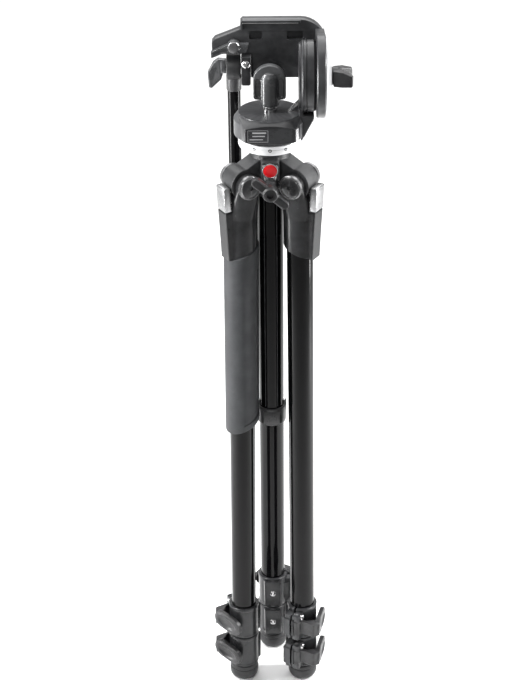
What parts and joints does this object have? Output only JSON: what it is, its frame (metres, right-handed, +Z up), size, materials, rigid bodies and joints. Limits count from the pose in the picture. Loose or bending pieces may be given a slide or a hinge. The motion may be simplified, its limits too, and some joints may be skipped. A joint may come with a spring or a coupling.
{
  "type": "camera tripod",
  "caption": "Folding aluminium camera tripod with telescopic legs, a rising centre column and a pan and tilt video head with a pan bar and a lift-off camera plate.",
  "frame": {"origin": "middle of the folded tripod's footprint on the floor, under its bounding box", "axes": "+Z up along the column; -Y to the front, where the column clamp knob is; +X to the tilt lock knob's side"},
  "size_m": [0.1422, 0.119, 0.7315],
  "materials": {
    "black_casting": "satin black powder coat",
    "black_tube": "gloss black anodised",
    "machined_aluminium": "satin machined",
    "steel": "bright",
    "black_plastic": "fine texture",
    "grey_plastic": "satin",
    "satin_cap": "satin",
    "label_grey": "matte",
    "red_enamel": "gloss",
    "rubber": "matte",
    "grip_rubber": "fine texture"
  },
  "bodies": {
    "spider": {"spider": "black_casting", "pivot_pins": "steel", "badge": "red_enamel"},
    "column": {"column": "black_tube", "column_end_cap": "black_plastic", "top_disc": "machined_aluminium", "pan_base": "black_plastic"},
    "column_knob": {"column_knob": "black_plastic"},
    "pan": {"pan_housing": "black_casting", "label_plate": "label_grey", "tilt_drum": "black_casting"},
    "pan_knob": {"pan_knob": "grey_plastic"},
    "tilt": {"platform": "black_casting", "tilt_cap": "satin_cap", "lever_pivot": "steel", "bar_socket": "black_plastic"},
    "tilt_knob": {"tilt_knob": "black_plastic"},
    "camera_plate": {"camera_plate": "black_casting"},
    "camera_screw": {"camera_screw": "steel"},
    "release_lever": {"release_lever": "grey_plastic"},
    "pan_bar": {"pan_bar": "black_tube", "bar_grip": "rubber"},
    "bar_knob": {"bar_knob": "grey_plastic"},
    "left_leg": {"left_casting": "black_casting", "left_upper_tube": "black_tube", "left_upper_collar": "black_plastic", "left_upper_bolts": "steel", "left_grip": "grip_rubber"},
    "left_selector": {"left_selector": "machined_aluminium"},
    "left_upper_lever": {"left_upper_lever": "black_plastic"},
    "left_middle": {"left_middle_tube": "black_tube", "left_lower_collar": "black_plastic", "left_lower_bolts": "steel"},
    "left_lower_lever": {"left_lower_lever": "black_plastic"},
    "left_lower": {"left_lower_tube": "black_tube", "left_foot": "rubber"},
    "right_leg": {"right_casting": "black_casting", "right_upper_tube": "black_tube", "right_upper_collar": "black_plastic", "right_upper_bolts": "steel"},
    "right_selector": {"right_selector": "machined_aluminium"},
    "right_upper_lever": {"right_upper_lever": "black_plastic"},
    "right_middle": {"right_middle_tube": "black_tube", "right_lower_collar": "black_plastic", "right_lower_bolts": "steel"},
    "right_lower_lever": {"right_lower_lever": "black_plastic"},
    "right_lower": {"right_lower_tube": "black_tube", "right_foot": "rubber"},
    "rear_leg": {"rear_casting": "black_casting", "rear_upper_tube": "black_tube", "rear_upper_collar": "black_plastic", "rear_upper_bolts": "steel"},
    "rear_selector": {"rear_selector": "machined_aluminium"},
    "rear_upper_lever": {"rear_upper_lever": "black_plastic"},
    "rear_middle": {"rear_middle_tube": "black_tube", "rear_lower_collar": "black_plastic", "rear_lower_bolts": "steel"},
    "rear_lower_lever": {"rear_lower_lever": "black_plastic"},
    "rear_lower": {"rear_lower_tube": "black_tube", "rear_foot": "rubber"}
  },
  "joints": [
    {"name": "column_slide", "type": "slide", "parent": "spider", "child": "column", "axis": [0, 0, 1], "range_m": [0, 0.225]},
    {"name": "column_clamp", "type": "hinge", "parent": "spider", "child": "column_knob", "pos_m": [-0.0065, -0.05, 0.592], "axis": [0, -1, 0], "range_deg": [0, 270]},
    {"name": "pan_turn", "type": "hinge", "parent": "column", "child": "pan", "pos_m": [-0.0065, -0.01, 0.645], "axis": [0, 0, 1], "continuous": true},
    {"name": "pan_clamp", "type": "hinge", "parent": "pan", "child": "pan_knob", "pos_m": [-0.0065, -0.01, 0.665], "axis": [0, 0, 1], "range_deg": [0, 180]},
    {"name": "tilt_turn", "type": "hinge", "parent": "pan", "child": "tilt", "pos_m": [0.0335, -0.01, 0.692], "axis": [1, 0, 0], "range_deg": [0, 120]},
    {"name": "tilt_clamp", "type": "hinge", "parent": "tilt", "child": "tilt_knob", "pos_m": [0.0585, -0.01, 0.692], "axis": [1, 0, 0], "range_deg": [0, 180]},
    {"name": "camera_plate_lift", "type": "slide", "parent": "tilt", "child": "camera_plate", "axis": [0, 1, 0], "range_m": [0, 0.05]},
    {"name": "camera_screw_turn", "type": "hinge", "parent": "camera_plate", "child": "camera_screw", "pos_m": [-0.0015, 0.05, 0.704], "axis": [0, 1, 0], "continuous": true},
    {"name": "release_lever_swing", "type": "hinge", "parent": "tilt", "child": "release_lever", "pos_m": [-0.04, 0.03, 0.707], "axis": [0, -1, 0], "range_deg": [0, 35]},
    {"name": "pan_bar_swing", "type": "hinge", "parent": "tilt", "child": "pan_bar", "pos_m": [-0.0409, 0.046, 0.682], "axis": [1, 0, 0], "range_deg": [0, 120]},
    {"name": "pan_bar_clamp", "type": "hinge", "parent": "pan_bar", "child": "bar_knob", "pos_m": [-0.0515, 0.046, 0.682], "axis": [-1, 0, 0], "range_deg": [0, 115]},
    {"name": "left_leg_spread", "type": "hinge", "parent": "spider", "child": "left_leg", "pos_m": [-0.03447, -0.02615, 0.59305], "axis": [-0.5, 0.866, 0], "range_deg": [0, 88]},
    {"name": "left_selector_pull", "type": "slide", "parent": "left_leg", "child": "left_selector", "axis": [-0.866, -0.5, 0.0084], "range_m": [0, 0.004], "stiffness_N_per_m": 400},
    {"name": "left_upper_clamp", "type": "hinge", "parent": "left_leg", "child": "left_upper_lever", "pos_m": [-0.05286, -0.01252, 0.07946], "axis": [-0.0073, -0.0042, -1], "range_deg": [0, 110]},
    {"name": "left_middle_slide", "type": "slide", "parent": "left_leg", "child": "left_middle", "axis": [-0.0073, -0.0042, -1], "range_m": [0, 0.4]},
    {"name": "left_lower_clamp", "type": "hinge", "parent": "left_middle", "child": "left_lower_lever", "pos_m": [-0.05314, -0.01268, 0.04016], "axis": [-0.0073, -0.0042, -1], "range_deg": [0, 110]},
    {"name": "left_lower_slide", "type": "slide", "parent": "left_middle", "child": "left_lower", "axis": [-0.0073, -0.0042, -1], "range_m": [0, 0.4]},
    {"name": "right_leg_spread", "type": "hinge", "parent": "spider", "child": "right_leg", "pos_m": [0.02147, -0.02615, 0.59305], "axis": [-0.5, -0.866, 0], "range_deg": [0, 88]},
    {"name": "right_selector_pull", "type": "slide", "parent": "right_leg", "child": "right_selector", "axis": [0.866, -0.5, 0.0084], "range_m": [0, 0.004], "stiffness_N_per_m": 400},
    {"name": "right_upper_clamp", "type": "hinge", "parent": "right_leg", "child": "right_upper_lever", "pos_m": [0.01886, -0.04889, 0.07946], "axis": [0.0073, -0.0042, -1], "range_deg": [0, 110]},
    {"name": "right_middle_slide", "type": "slide", "parent": "right_leg", "child": "right_middle", "axis": [0.0073, -0.0042, -1], "range_m": [0, 0.4]},
    {"name": "right_lower_clamp", "type": "hinge", "parent": "right_middle", "child": "right_lower_lever", "pos_m": [0.01914, -0.04905, 0.04016], "axis": [0.0073, -0.0042, -1], "range_deg": [0, 110]},
    {"name": "right_lower_slide", "type": "slide", "parent": "right_middle", "child": "right_lower", "axis": [0.0073, -0.0042, -1], "range_m": [0, 0.4]},
    {"name": "rear_leg_spread", "type": "hinge", "parent": "spider", "child": "rear_leg", "pos_m": [-0.0065, 0.0223, 0.59305], "axis": [1, 0, 0], "range_deg": [0, 88]},
    {"name": "rear_selector_pull", "type": "slide", "parent": "rear_leg", "child": "rear_selector", "axis": [0, 1, 0.0084], "range_m": [0, 0.004], "stiffness_N_per_m": 400},
    {"name": "rear_upper_clamp", "type": "hinge", "parent": "rear_leg", "child": "rear_upper_lever", "pos_m": [0.0145, 0.0314, 0.07946], "axis": [0, 0.0084, -1], "range_deg": [0, 110]},
    {"name": "rear_middle_slide", "type": "slide", "parent": "rear_leg", "child": "rear_middle", "axis": [0, 0.0084, -1], "range_m": [0, 0.4]},
    {"name": "rear_lower_clamp", "type": "hinge", "parent": "rear_middle", "child": "rear_lower_lever", "pos_m": [0.0145, 0.03173, 0.04016], "axis": [0, 0.0084, -1], "range_deg": [0, 110]},
    {"name": "rear_lower_slide", "type": "slide", "parent": "rear_middle", "child": "rear_lower", "axis": [0, 0.0084, -1], "range_m": [0, 0.4]}
  ]
}
